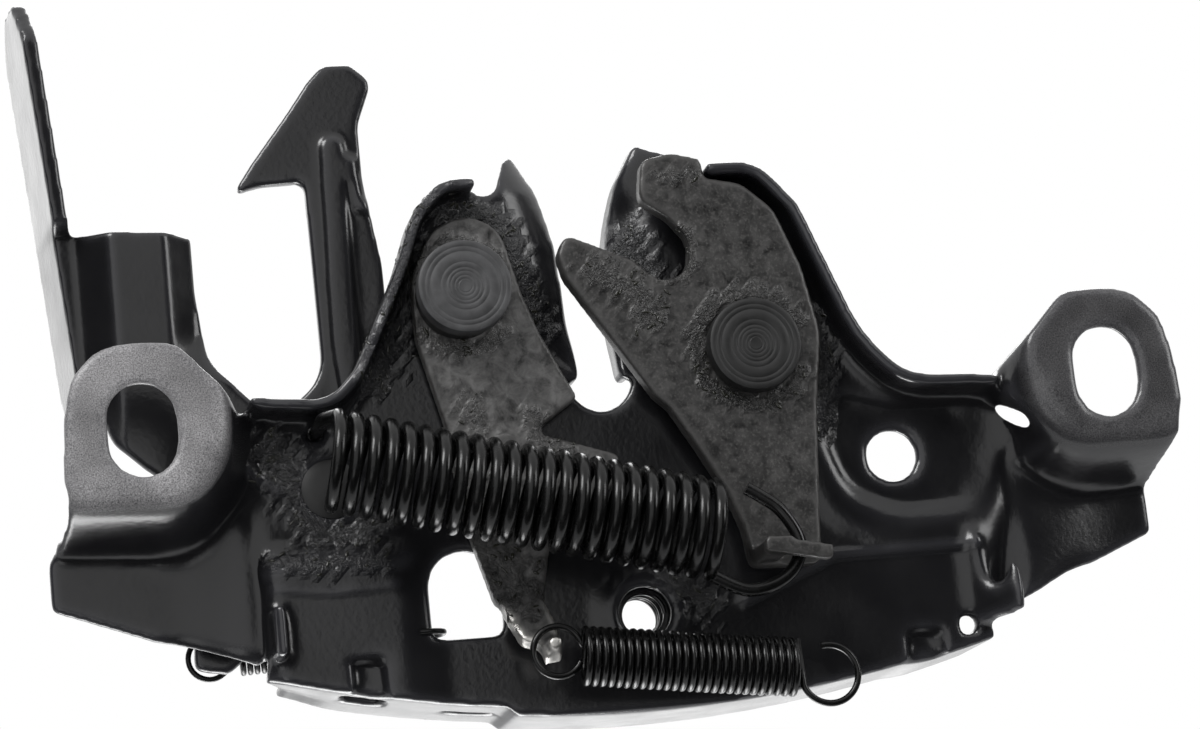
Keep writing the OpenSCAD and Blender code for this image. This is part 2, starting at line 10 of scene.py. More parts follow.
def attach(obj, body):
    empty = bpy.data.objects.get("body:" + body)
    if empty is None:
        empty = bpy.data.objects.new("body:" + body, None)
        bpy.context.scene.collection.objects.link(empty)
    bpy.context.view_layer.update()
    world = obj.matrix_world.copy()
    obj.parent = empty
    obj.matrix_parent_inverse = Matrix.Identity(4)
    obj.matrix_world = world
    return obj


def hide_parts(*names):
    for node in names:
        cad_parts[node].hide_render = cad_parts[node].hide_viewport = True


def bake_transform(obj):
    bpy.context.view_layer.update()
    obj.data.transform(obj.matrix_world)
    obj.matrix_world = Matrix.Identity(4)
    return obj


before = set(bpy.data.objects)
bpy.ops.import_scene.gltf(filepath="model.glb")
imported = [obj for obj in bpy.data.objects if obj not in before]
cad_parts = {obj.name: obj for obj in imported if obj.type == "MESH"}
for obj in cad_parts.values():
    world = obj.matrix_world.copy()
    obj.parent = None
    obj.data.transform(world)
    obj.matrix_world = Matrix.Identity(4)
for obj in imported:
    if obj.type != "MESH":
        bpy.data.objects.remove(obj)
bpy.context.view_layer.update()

bl_info = {
    "name": "Bonnet latch looks",
    "version": (1, 0, 0),
    "blender": (4, 5, 0),
    "location": "View3D > Sidebar > Latch",
    "description": "Dresses the packed latch with pressed skins, springs, grease and a studio",
    "category": "Object",
}

MM = 0.001

# Pivots across the plate, as x and z in millimetres, as in the part's source.
CATCH_PIVOT = (23.7, 2.0)
PAWL_PIVOT = (-22.0, 14.0)
LEVER_PIVOT = (-44.5, -15.0)


def linear(code):
    """Turns an sRGB hex colour into linear values with full alpha."""
    values = [int(code[i:i + 2], 16) / 255 for i in (1, 3, 5)]
    return tuple(v / 12.92 if v <= 0.04045 else ((v + 0.055) / 1.055) ** 2.4
                 for v in values) + (1.0,)


def per_mm(size):
    """Scale of a pattern in metres whose cells are size millimetres wide."""
    return 1.0 / (size * MM)


# Settings


def tint(name, description, code):
    """A colour setting with an sRGB hex default."""
    return bpy.props.FloatVectorProperty(
        name=name, description=description, subtype="COLOR", size=4, min=0.0, max=1.0,
        default=linear(code))


def length(name, description, default, low, high):
    """A length setting, given in millimetres."""
    return bpy.props.FloatProperty(
        name=name, description=description, subtype="DISTANCE", unit="LENGTH",
        default=default * MM, min=low * MM, max=high * MM)


class LatchLooks(bpy.types.PropertyGroup):
    """Sizes and colours of the latch's finishes."""

    coat_color: tint("Coat", "Colour of the black electro-coat", "#0d0d0f")
    phosphate_color: tint("Phosphate", "Colour of the phosphated catch", "#454443")
    rubbed_color: tint("Rubbed", "Colour of the pawl, rubbed lighter in use", "#706f6e")
    rubbed_rivet_color: tint("Rubbed rivet", "Colour of the pawl's rivet, rubbed lighter in use",
                             "#464647")
    rivet_color: tint("Rivets", "Colour of the turned rivet heads", "#1f1f1f")
    wire_color: tint("Spring wire", "Colour of the coated spring wire", "#060606")
    grease_color: tint("Grease", "Colour of the grease", "#282820")
    plate_voxel: length("Plate cell", "Cell size of the plate's pressed skin", 0.62, 0.4, 2)
    blank_voxel: length("Blank cell", "Cell size of the catch, pawl and lever skins", 0.45, 0.3, 2)
    catch_wire: length("Catch wire", "Diameter of the catch spring's wire", 2.1, 0.5, 2.4)
    pawl_wire: length("Pawl wire", "Diameter of the pawl spring's wire", 1.05, 0.5, 1.2)
    safety_wire: length("Safety wire", "Diameter of the safety spring's wire", 0.9, 0.4, 1.1)
    grease_density: bpy.props.FloatProperty(
        name="Grease specks", default=0.9, min=0.0, max=2.0,
        description="Grease specks on each square millimetre where it is thick")
    floor_drop: length("Floor", "How far the floor lies under the origin", 600, 100, 2000)


def looks():
    """The scene's settings."""
    return bpy.context.scene.latch_looks


# Node trees


def add(tree, kind, inputs=None, **settings):
    """Adds one node with its settings; each input is a value or another node's output socket."""
    node = tree.nodes.new(kind)
    for key, value in settings.items():
        setattr(node, key, value)
    for key, value in (inputs or {}).items():
        if isinstance(value, bpy.types.NodeSocket):
            tree.links.new(value, node.inputs[key])
        else:
            node.inputs[key].default_value = value
    return node


def noise(tree, place, size, detail, **more):
    """Noise whose cells are size millimetres wide."""
    inputs = {"Vector": place, "Scale": per_mm(size), "Detail": detail, **more}
    return add(tree, "ShaderNodeTexNoise", inputs).outputs["Fac"]


def ranged(tree, value, low=0.0, high=1.0, to_low=0.0, to_high=1.0):
    """Maps the values from low to high onto another range, and clamps them."""
    inputs = {"Value": value, "From Min": low, "From Max": high, "To Min": to_low,
              "To Max": to_high}
    return add(tree, "ShaderNodeMapRange", inputs).outputs["Result"]


def times(tree, a, b, **settings):
    """Multiplies two values."""
    return add(tree, "ShaderNodeMath", {0: a, 1: b}, operation="MULTIPLY",
               **settings).outputs["Value"]


def mixed(tree, factor, a, b, kind="RGBA"):
    """Mixes two colours, or two values where kind is FLOAT."""
    return add(tree, "ShaderNodeMix", {"Factor": factor, "A": a, "B": b},
               data_type=kind).outputs["Result"]


def bump(tree, height, strength, distance, **normal):
    """Fine relief of a depth in millimetres, over another normal where one is given."""
    inputs = {"Height": height, "Strength": strength, "Distance": distance * MM, **normal}
    return add(tree, "ShaderNodeBump", inputs).outputs["Normal"]


def marked(tree, name):
    """The value that a mark left on the mesh."""
    return add(tree, "ShaderNodeAttribute", attribute_name=name).outputs["Fac"]


def placed(tree):
    """The piece's own coordinates."""
    return add(tree, "ShaderNodeTexCoord").outputs["Object"]


def principled(tree, inputs):
    """Ends a material with its shader and output."""
    shader = add(tree, "ShaderNodeBsdfPrincipled", inputs)
    add(tree, "ShaderNodeOutputMaterial", {"Surface": shader.outputs["BSDF"]})


def new_material(name):
    """An empty material and its tree."""
    material = bpy.data.materials.new(name)
    material.use_nodes = True
    material.node_tree.nodes.clear()
    return material, material.node_tree


# Materials


def electro_coated_steel():
    """Stamped steel under black electro-coat: near black, satin gloss, faint orange peel.

    The ears' faces carry a coarser, paler grain, painted lighter towards the left as a
    painted reflection of the light there, and the greased places are wet and lumpy."""
    made, tree = new_material("electro_coated_steel")
    place = placed(tree)
    split = add(tree, "ShaderNodeSeparateXYZ", {"Vector": place})
    peel = noise(tree, place, 0.9, 3.0)
    grain = noise(tree, place, 0.22, 2.0)
    lumps = noise(tree, place, 1.1, 4.0, Roughness=0.6, Distortion=1.5)
    haze = noise(tree, place, 9.0, 4.0)
    grease, edge_wear_and_highlight = marked(tree, "grease"), marked(tree, "edge")
    raised = ranged(tree, split.outputs["Y"], -8.6 * MM, -10.6 * MM)
    # Painted reflection: the ears' pale grain grows lighter towards the left, where the left ear
    # faces the light; the same share also sets the ears' bump and roughness.
    side = ranged(tree, split.outputs["X"], -50 * MM, 65 * MM, 0.9, 0.2)
    ears = times(tree, raised, side)
    # Painted highlight: the coat's outer edges are lightened, as where bends and lips shine.
    tone = mixed(tree, edge_wear_and_highlight, looks().coat_color, linear("#2a2a2d"))
    speck = ranged(tree, grain, 0.18, 0.86)
    sheen = ranged(tree, haze, 0.35, 0.65, 0.62, 1.15)
    grain_and_painted_light = add(tree, "ShaderNodeMath", {0: sheen, 1: ears, 2: 0.012}, operation="MULTIPLY_ADD")
    ear_grain_and_painted_light = times(tree, speck, grain_and_painted_light.outputs["Value"], use_clamp=True)
    color = mixed(tree, ear_grain_and_painted_light, tone, linear("#b8b6b7"))
    satin = ranged(tree, haze, 0.3, 0.7, 0.17, 0.27)
    dry = mixed(tree, ears, satin, 0.4, "FLOAT")
    rough = mixed(tree, grease, dry, 0.1, "FLOAT")
    fine = bump(tree, peel, 0.14, 0.2)
    pitted = bump(tree, times(tree, grain, ears), 0.25, 0.15, Normal=fine)
    lumpy = bump(tree, times(tree, lumps, grease), 0.8, 0.8, Normal=pitted)
    principled(tree, {"Base Color": color, "Roughness": rough, "Specular IOR Level": 0.5,
                      "Normal": lumpy})
    return made


def phosphated_steel(name, shade):
    """Blanked steel with manganese phosphate: grey, mottled, half matt, oiled in patches."""
    made, tree = new_material(name)
    place = placed(tree)
    cloud = noise(tree, place, 2.4, 8.0, Roughness=0.62, Distortion=0.5)
    crystal = noise(tree, place, 0.45, 2.0)
    lumps = noise(tree, place, 1.0, 4.0, Roughness=0.6, Distortion=1.5)
    grease, edge_wear_and_highlight, bare = (marked(tree, key) for key in ("grease", "edge", "worn"))
    mottled = mixed(tree, ranged(tree, cloud, 0.3, 0.72), linear("#121212"), shade)
    speck = ranged(tree, crystal, 0.5, 0.75, 0.0, 0.3)
    specked = mixed(tree, speck, mottled, linear("#6c6a68"))
    rubbed = mixed(tree, edge_wear_and_highlight, specked, linear("#3e3d3c"))
    oiled = mixed(tree, times(tree, grease, 0.4), rubbed, linear("#0e0e0d"))
    color = mixed(tree, bare, oiled, linear("#c4c2be"))
    metal = ranged(tree, bare, 0.0, 1.0, 0.25, 1.0)
    dry = ranged(tree, cloud, 0.3, 0.7, 0.3, 0.52)
    rough = mixed(tree, grease, dry, 0.1, "FLOAT")
    fine = bump(tree, crystal, 0.15, 0.1)
    lumpy = bump(tree, times(tree, lumps, grease), 0.8, 0.7, Normal=fine)
    principled(tree, {"Base Color": color, "Roughness": rough, "Metallic": metal,
                      "Specular IOR Level": 0.5, "Normal": lumpy})
    return made


def turned_steel(name, pivot, light):
    """Turned and phosphated rivet steel: grey, with rings about the rivet's own axis."""
    made, tree = new_material(name)
    place = placed(tree)
    centred = add(tree, "ShaderNodeMapping", {
        "Vector": place, "Location": (-pivot[0] * MM, 0.0, -pivot[1] * MM)})
    # The wave's phase is 20 x scale x radius, so the rings lie 2 pi x 0.35 = 2.2 mm apart,
    # wider than a tool's marks, so that they show in the render.
    rings = add(tree, "ShaderNodeTexWave", {
        "Vector": centred.outputs["Vector"], "Scale": per_mm(0.35) / 20, "Distortion": 0.4,
        "Detail": 1.0}, wave_type="RINGS", rings_direction="Y")
    cloud = noise(tree, place, 2.5, 4.0)
    dark = [0.6 * part for part in light[:3]] + [1.0]
    color = mixed(tree, ranged(tree, cloud, 0.35, 0.65), dark, light)
    rough = ranged(tree, cloud, 0.3, 0.7, 0.42, 0.58)
    principled(tree, {"Base Color": color, "Roughness": rough, "Metallic": 0.2,
                      "Normal": bump(tree, rings.outputs["Fac"], 0.06, 0.05)})
    return made


def coated_spring_wire():
    """Drawn spring wire with a black dip coat: glossy, a little uneven along the wire."""
    made, tree = new_material("coated_spring_wire")
    place = placed(tree)
    cloud = noise(tree, place, 2.2, 3.0)
    color = mixed(tree, cloud, looks().wire_color, linear("#0c0c0c"))
    rough = ranged(tree, cloud, 0.3, 0.7, 0.18, 0.3)
    uneven = bump(tree, noise(tree, place, 0.4, 2.0), 0.12, 0.1)
    principled(tree, {"Base Color": color, "Roughness": rough, "Specular IOR Level": 0.32,
                      "Normal": uneven})
    return made


def zinc_plated_steel():
    """Zinc plated washer steel: grey metal with a dull bloom."""
    made, tree = new_material("zinc_plated_steel")
    bloom = noise(tree, placed(tree), 3.0, 5.0)
    color = mixed(tree, bloom, linear("#6f7173"), linear("#a9abad"))
    rough = ranged(tree, bloom, 0.0, 1.0, 0.28, 0.5)
    principled(tree, {"Base Color": color, "Roughness": rough, "Metallic": 1.0})
    return made


def lithium_grease():
    """Lithium grease darkened by the black coat under it: wet, with a trace of yellow green."""
    made, tree = new_material("lithium_grease")
    cloud = noise(tree, placed(tree), 1.5, 2.0)
    color = mixed(tree, cloud, linear("#101010"), looks().grease_color)
    principled(tree, {"Base Color": color, "Roughness": 0.06, "IOR": 1.47,
                      "Specular IOR Level": 0.6})
    return made


# Meshes


def linked(name, data):
    """An object at the origin of the scene."""
    piece = bpy.data.objects.new(name, data)
    bpy.context.scene.collection.objects.link(piece)
    return piece


def dress(mesh, material):
    """Gives a mesh its one material."""
    mesh.materials.clear()
    mesh.materials.append(material)


def keep(name, mesh, material):
    """A finished piece at the origin with one material."""
    dress(mesh, material)
    return linked(name, mesh)


def baked(piece):
    """The evaluated mesh of an object, as plain data."""
    graph = bpy.context.evaluated_depsgraph_get()
    return bpy.data.meshes.new_from_object(piece.evaluated_get(graph), depsgraph=graph)


def block(low, high):
    """A box between two corners in millimetres, as a working object."""
    mesh = bpy.data.meshes.new("block")
    work = bmesh.new()
    bmesh.ops.create_cube(work, size=1.0)
    for vert in work.verts:
        vert.co = [(a + (b - a) * (v + 0.5)) * MM for a, b, v in zip(low, high, vert.co)]
    work.to_mesh(mesh)
    work.free()
    return linked("block", mesh)


def remeshed(node, cell, cuts=()):
    """An even skin of quads over a copy of a CAD node, with blocks cut away first."""
    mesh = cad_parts[node].data.copy()
    work = bmesh.new()
    work.from_mesh(mesh)
    bmesh.ops.remove_doubles(work, verts=work.verts, dist=0.002 * MM)
    work.to_mesh(mesh)
    work.free()
    piece = linked("skin", mesh)
    blocks = [block(low, high) for low, high in cuts]
    for tool in blocks:
        cut = piece.modifiers.new("cut", "BOOLEAN")
        cut.operation = "DIFFERENCE"
        cut.object = tool
    grid = piece.modifiers.new("skin", "REMESH")
    grid.mode = "VOXEL"
    grid.voxel_size = cell
    skin = baked(piece)
    for spent in [piece] + blocks:
        data = spent.data
        bpy.data.objects.remove(spent)
        bpy.data.meshes.remove(data)
    return skin


def step(value, low, high):
    """A smooth rise from 0 at low to 1 at high."""
    t = np.clip((value - low) / (high - low), 0, 1)
    return t * t * (3 - 2 * t)


def points_of(mesh):
    """The mesh's points, in metres."""
    co = np.empty(len(mesh.vertices) * 3)
    mesh.vertices.foreach_get("co", co)
    return co.reshape(-1, 3)


def set_points(mesh, co):
    """Moves the mesh's points."""
    mesh.vertices.foreach_set("co", co.ravel())
    mesh.update()


def web_of(mesh):
    """The points at each edge's ends, and the number of each point's neighbours."""
    pairs = np.empty(len(mesh.edges) * 2, int)
    mesh.edges.foreach_get("vertices", pairs)
    count = np.maximum(np.bincount(pairs, minlength=len(mesh.vertices)), 1).astype(float)
    return pairs.reshape(-1, 2), count


def normals_of(mesh):
    """The mesh's normals at its points."""
    mesh.update()
    normals = np.empty(len(mesh.vertices) * 3)
    mesh.vertices.foreach_get("normal", normals)
    return normals.reshape(-1, 3)


def around(values, pairs, count):
    """Mean of each point's neighbours."""
    total = np.zeros_like(values)
    np.add.at(total, pairs[:, 0], values[pairs[:, 1]])
    np.add.at(total, pairs[:, 1], values[pairs[:, 0]])
    return total / count.reshape((-1,) + (1,) * (values.ndim - 1))


def hollow_of(mesh, co, pairs, count):
    """How far each point lies under its neighbours: above 0 in inner corners."""
    return np.einsum("ij,ij->i", around(co, pairs, count) - co, normals_of(mesh))


INNER_HOLLOW = 0.06  # depth in millimetres from which a point counts as an inner corner
OUTER_BULGE = 0.05  # height in mm at which an outer edge is fully marked (rubbed; on the coat, painted highlight)


def soften(mesh, passes, fillet_passes):
    """Rounds every edge a little and fills the inner corners of bends more."""
    co = points_of(mesh)
    pairs, count = web_of(mesh)
    inner = (hollow_of(mesh, co, pairs, count) > INNER_HOLLOW * MM).astype(float)
    for _ in range(4):
        inner = np.maximum(inner, around(inner, pairs, count))
    inner = np.clip(inner * 1.6, 0, 1)[:, None]
    for _ in range(fillet_passes):
        co = co + inner * 0.5 * (around(co, pairs, count) - co)
    for _ in range(passes):
        co = co + 0.5 * (around(co, pairs, count) - co)
    set_points(mesh, co)


def mark(mesh, name, values):
    """Leaves a value from 0 to 1 at each point, for the materials and the grease."""
    layer = mesh.attributes.new(name, "FLOAT", "POINT")
    layer.data.foreach_set("value", np.clip(values, 0, 1).astype(np.float32))


def mark_edges(mesh):
    """Marks the outer edges (rubbed on blanks, painted highlight on the coat) and the bare ones low
    down.
    """
    co = points_of(mesh)
    pairs, count = web_of(mesh)
    bulge = -hollow_of(mesh, co, pairs, count)
    # The same share lightens the coat's outer edges as a painted highlight.
    rubbed = around(np.clip(bulge / (OUTER_BULGE * MM), 0, 1), pairs, count)
    mark(mesh, "edge", rubbed)
    mark(mesh, "worn", 1.5 * rubbed * step(-co[:, 2] / MM, 35, 39))


def beside_line(x, z, line):
    """Distance of points from a line of straight pieces."""
    best = np.full(len(x), 1e9)
    for (ax, az), (bx, bz) in zip(line, line[1:]):
        t = ((x - ax) * (bx - ax) + (z - az) * (bz - az)) / ((bx - ax) ** 2 + (bz - az) ** 2)
        t = np.clip(t, 0, 1)
        best = np.minimum(best, np.hypot(x - ax - t * (bx - ax), z - az - t * (bz - az)))
    return best


def around_pivot(pivot, radius, first, last):
    """A line round a pivot between two angles in degrees."""
    return [(pivot[0] + radius * math.cos(math.radians(a)),
             pivot[1] + radius * math.sin(math.radians(a))) for a in range(first, last + 1, 15)]


def mark_grease(mesh, smears):
    """Marks where grease lies, with ragged borders and most of it on the front."""
    x, _, z = (points_of(mesh) / MM).T
    ragged = (1 + 0.45 * np.sin(1.1 * x + 0.6 * z) * np.sin(0.9 * z - 0.5 * x)
              + 0.3 * np.sin(2.3 * x - 1.9 * z))
    wet = np.zeros(len(x))
    for line, half, strength in smears:
        film = np.clip(1.5 - beside_line(x, z, line) / (half * ragged), 0, 1)
        wet = np.maximum(wet, strength * film)
    front = np.clip(-normals_of(mesh)[:, 1] * 1.5, 0.25, 1)
    mark(mesh, "grease", wet * front)


def smooth_shaded(mesh):
    """The same mesh, shaded smooth."""
    mesh.shade_smooth()
    return mesh


# Grease smears: a line in x and z, its half width in millimetres, and its strength.
PLATE_GREASE = (
    (((-29.5, 24), (-31.5, 16), (-33.5, 8), (-37, 2)), 2.6, 1.0),
    (((-27, 28), (-20, 29.5), (-14, 27)), 1.6, 0.9),
    (((-12.5, 24), (-10.5, 16), (-8, 9)), 2.0, 1.0),
    (((-53, -9), (-50, -15), (-47, -21)), 3.0, 1.0),
    (((-44, -23), (-37, -21)), 1.8, 0.8),
    (((-54, -26.5), (-45, -27.5), (-38, -27)), 1.4, 0.8),
    (((7.5, 22), (9, 15), (12, 12)), 3.0, 1.0),
    (((36, 8), (37.5, 0), (35.5, -10)), 1.8, 0.9),
    (((8, -33), (13, -37)), 2.4, 0.7))
CATCH_GREASE = (
    (((0, 16), (6, 12), (8, 8)), 2.4, 0.9),
    (around_pivot(CATCH_PIVOT, 9.2, 30, 330), 1.3, 1.0),
    (((9, 16), (12, 14.5), (15, 16.5), (14.6, 22)), 1.3, 1.0),
    (((12, 31), (17, 31)), 1.2, 0.6))
PAWL_GREASE = (
    (around_pivot(PAWL_PIVOT, 8.9, 45, 315), 1.2, 1.0),
    (((-12, -6), (-11, -10), (-6, -14)), 1.6, 1.0),
    (((-22, -4), (-20, -12)), 2.2, 0.6),
    (((-25, -20), (-22, -27), (-20, -32)), 6.0, 1.0))
LEVER_GREASE = ((around_pivot(LEVER_PIVOT, 8.0, 0, 360), 1.5, 0.6),)


# Pressed plate, in millimetres

# Two recesses in the bottom fold and a hole above it, as low and high corners.
PLATE_NOTCHES = (((-44, -2, -52), (-38.6, 1.3, -43.4)),
                 ((45.5, -2, -50), (51.5, 1.3, -44.2)),
                 ((54.6, -2, -45.6), (57.4, 9, -42.6)))
# Heights, and half the striker slot's width at each.
SLOT_SIDE = ((0, 6, 23, 32, 38), (5.2, 5.2, 5.95, 8.2, 11.6))
CURL_REACH, CURL_RADIUS = 7.0, 8.0
# Where the ears' faces bend down into their walls.
LEFT_BEND = ((-93, -17.8), (-78, -18.6), (-67.7, -17.5), (-62, -13.2), (-58.7, -5.6))
RIGHT_BEND = ((69.3, -8.7), (71.9, -13.8), (79.4, -17.6), (94, -16.4))
ROOT_PASSES = 45
LEDGE_RISE, FLANGE_SLANT = 1.1, 0.35
# Places across the plate, and the bottom fold's height in the solid at each.
FOLD = ((-57, -41.6, -29, -20, 0, 12, 28, 49, 59),
        (-46.5, -50.1, -52.1, -53.2, -54.4, -54.2, -53.9, -49.2, -46.5))
FOLD_LIFT, PANEL_LIFT = 0.6, 1.4
# Middle of the slit beside the right ear, the direction across it, and the share it closes.
SLIT, SLIT_ACROSS, SLIT_PINCH = (67.0, -11.1), (0.782, 0.623), 0.74
# Small beads pressed forward in the sheet: points, half width and rise.
BEADS = ((((-57.7, -11.1), (-53, -14.9)), 1.5, 0.8),
         (((19.7, -37.5), (34.8, -31.2), (58.8, -30.8)), 1.3, 0.55),
         (((-55, -30.5), (-46, -31.6), (-36, -31)), 1.2, 0.4))


def curl_humps(mesh):
    """Curls the humps back towards the striker slot, as the press left them."""
    co = points_of(mesh)
    x, y, z = (co / MM).T
    gap = np.abs(x) - np.interp(z, *SLOT_SIDE)
    curl = np.clip(CURL_REACH - gap, 0, CURL_REACH + 2) ** 2 / (2 * CURL_RADIUS)
    curl = curl * step(z, 0, 12) * (y < 7) * (np.abs(x) < 18)
    curl *= 1 - 0.8 * step(z, 27, 37) * (x > 0)
    co[:, 1] += curl * MM
    set_points(mesh, co)


def blend_wings(mesh):
    """Draws the wings' roots forward, so that they run into the plate without a step."""
    co = points_of(mesh)
    x, y, z = (co / MM).T
    left = step(x, -69, -58.5) * step(-x, 56, 58.5)
    right = step(-x, -88, -66) * step(x, 63.5, 66)
    share = (left + right) * (y > 0) * (y < 7) * step(-z, 12, 18) * step(z, -44, -41)
    drawn = np.where(y < 3, 0.1 * y, y - 2.7)
    co[:, 1] += share * (drawn - y) * MM
    set_points(mesh, co)


def melt_roots(mesh):
    """Smooths the sheet where the ears' walls and the wings run into the plate."""
    co = points_of(mesh)
    pairs, count = web_of(mesh)
    x, y, z = (co / MM).T
    wall = step(x, -74, -68) * step(-x, 50, 53) * step(z, -29, -25) * step(-z, 2, 8)
    wing = step(x, -74, -68) * step(-x, 56, 58) * step(z, -47, -44) * step(-z, 20, 24)
    left = np.maximum(wall, wing)
    right = step(x, 57, 60) * step(-x, -80, -74) * step(z, -40, -36) * step(-z, 4, 10)
    bends = sum(np.clip(1.6 - beside_line(x, z, line) / 3, 0, 1)
                for line in (LEFT_BEND, RIGHT_BEND))
    share = np.clip((left + right) * (y > -9) + bends * (y < 1), 0, 1)[:, None]
    for _ in range(ROOT_PASSES):
        co = co + 0.5 * share * (around(co, pairs, count) - co)
    set_points(mesh, co)


def press_ledge(mesh):
    """Sets the lower left panel forward of the sheet above it, and slants the flange's end."""
    co = points_of(mesh)
    x, y, z = (co / MM).T
    share = step(-z, 22.5, 28.5) * step(x, -57, -54) * step(-x, 28, 36) * step(-y, -6, -2.5)
    co[:, 1] -= LEDGE_RISE * MM * share
    end = np.clip(y - 2.5, 0, 9) * step(-x, 44, 57) * step(-z, 42, 45)
    co[:, 0] += FLANGE_SLANT * MM * end
    set_points(mesh, co)


def lift_fold(mesh):
    """Raises the bottom fold a little, and more under the lower left panel."""
    co = points_of(mesh)
    x, _, z = (co / MM).T
    rise = FOLD_LIFT + PANEL_LIFT * step(-x, 18.2, 20.2)
    rise = rise * step(x, -58.5, -56.5) * step(-x, -50, -44)
    co[:, 2] += rise * MM * step(np.interp(x, *FOLD) - z, -8, -3)
    set_points(mesh, co)


def pinch_slit(mesh):
    """Draws the sheet together across the slit beside the right ear."""
    co = points_of(mesh)
    x, y, z = (co / MM).T
    dx, dz = x - SLIT[0], z - SLIT[1]
    across = dx * SLIT_ACROSS[0] + dz * SLIT_ACROSS[1]
    share = SLIT_PINCH * (1 - step(np.hypot(dx, dz), 3, 7.5)) * step(y, -9.6, -7)
    co[:, 0] -= share * across * SLIT_ACROSS[0] * MM
    co[:, 2] -= share * across * SLIT_ACROSS[1] * MM
    set_points(mesh, co)


def press_beads(mesh):
    """Presses the small beads through the sheet."""
    co = points_of(mesh)
    x, y, z = (co / MM).T
    for line, half, rise in BEADS:
        swell = np.clip(1 - (beside_line(x, z, line) / half) ** 2, 0, 1) ** 2
        co[:, 1] -= rise * MM * swell * (y > -1.5) * (y < 3.2)
    set_points(mesh, co)


class LATCH_OT_plate(bpy.types.Operator):
    """Presses the coated plate's skin and coats the weld nut"""

    bl_idname = "latch.plate"
    bl_label = "Pressed plate"

    def execute(self, context):
        coat = electro_coated_steel()
        skin = remeshed("base_plate", looks().plate_voxel, PLATE_NOTCHES)
        soften(skin, 4, 14)
        for shape in (curl_humps, blend_wings, melt_roots, press_ledge, lift_fold, pinch_slit,
                      press_beads):
            shape(skin)
        soften(skin, 2, 0)
        mark_edges(skin)
        mark_grease(skin, PLATE_GREASE)
        piece = keep("pressed_plate", smooth_shaded(skin), coat)
        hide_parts("base_plate")
        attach(piece, "frame")
        dress(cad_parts["weld_nut"].data, coat)
        return {"FINISHED"}


# Levers


def bend_handle(mesh):
    """Rolls the lever's web into the handle blade, turns its free edge back and lowers its top."""
    co = points_of(mesh)
    x, y, z = (co / MM).T
    depth = np.clip((y - 7) / 18, 0, 1)
    roll = np.clip(-75.4 - x, 0, 5.6) * 0.75 * (1 - depth)
    roll = roll * step(z, -12, 4) * step(-z, -32.5, -30.5)
    edge = np.clip(x + 66.8, 0, 4) * 0.8 * step(z, 4, 14) * (x < -57) * (y < 12)
    co[:, 1] += (roll + edge) * MM
    co[:, 2] -= 1.1 * MM * step(z, 40, 66) * (x < -70)
    set_points(mesh, co)


class LATCH_OT_blanks(bpy.types.Operator):
    """Skins the blanked catch and pawl with broken edges"""

    bl_idname = "latch.blanks"
    bl_label = "Catch and pawl"

    def execute(self, context):
        for node, smears, name, shade in (
                ("catch", CATCH_GREASE, "phosphated_steel", looks().phosphate_color),
                ("pawl", PAWL_GREASE, "rubbed_phosphated_steel", looks().rubbed_color)):
            skin = remeshed(node, looks().blank_voxel)
            soften(skin, 2, 4)
            mark_edges(skin)
            mark_grease(skin, smears)
            finish = phosphated_steel(name, shade)
            piece = keep(node + "_blank", smooth_shaded(skin), finish)
            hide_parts(node)
            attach(piece, node)
        return {"FINISHED"}


class LATCH_OT_lever(bpy.types.Operator):
    """Presses the safety lever with its hook and handle"""

    bl_idname = "latch.lever"
    bl_label = "Safety lever"

    def execute(self, context):
        skin = remeshed("safety_lever", looks().blank_voxel)
        soften(skin, 3, 8)
        bend_handle(skin)
        soften(skin, 3, 0)
        mark_edges(skin)
        mark_grease(skin, LEVER_GREASE)
        coat = bpy.data.materials["electro_coated_steel"]
        piece = keep("safety_lever_pressing", smooth_shaded(skin), coat)
        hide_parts("safety_lever")
        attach(piece, "safety_lever")
        return {"FINISHED"}


# Rivets, as radius and depth in millimetres

HEAD_FRONT, HEAD_BACK, HEAD_RADIUS = -9.9, -6.9, 7.5
# Rings turned into a head: radius, half width and depth.
HEAD_RINGS = ((1.1, 0.14, 0.05), (1.7, 0.1, 0.03), (2.4, 0.1, 0.03), (3.0, 0.16, 0.06),
              (3.9, 0.1, 0.03), (5.6, 0.14, 0.05), (6.4, 0.12, 0.04))
SHANK = [(5.0, HEAD_BACK), (5.0, 0.0), (3.8, 0.0), (3.8, 2.0), (5.85, 2.0), (6.0, 2.2),
         (5.9, 3.0), (5.2, 3.6), (3.6, 3.9), (0, 4.0)]
LEVER_RIVET = [(0, 0.3), (2.6, 0.34), (3.6, 0.5), (4.6, 0.74), (4.7, 0.8), (3.8, 0.8), (3.8, 2.8),
               (6.5, 2.8), (6.5, 6.7), (5.0, 6.7), (5.0, 11.2), (7.4, 11.2), (7.5, 11.35),
               (7.5, 13.6), (7.1, 14.1), (5.6, 14.2), (5.4, 14.05), (5.1, 14.05), (4.9, 14.2),
               (1.2, 14.2), (0, 14.05)]


def lathe(name, profile, pivot, material, sides=72):
    """Turns a profile of radius and depth pairs, in millimetres, about a pivot's own axis."""
    work = bmesh.new()
    turn = [2 * math.pi * k / sides for k in range(sides)]
    rows = []
    for radius, depth in profile:
        rows.append([work.verts.new(((pivot[0] + radius * math.cos(w)) * MM, depth * MM,
                                     (pivot[1] + radius * math.sin(w)) * MM))
                     for w in (turn if radius > 1e-6 else turn[:1])])
    for a, b in zip(rows, rows[1:]):
        for k in range(sides):
            corners = [a[k % len(a)], a[(k + 1) % len(a)], b[(k + 1) % len(b)], b[k % len(b)]]
            work.faces.new(list(dict.fromkeys(corners)))
    bmesh.ops.recalc_face_normals(work, faces=work.faces)
    mesh = bpy.data.meshes.new(name)
    work.to_mesh(mesh)
    work.free()
    mesh.shade_smooth()
    mesh.set_sharp_from_angle(angle=math.radians(40))
    return keep(name, mesh, material)


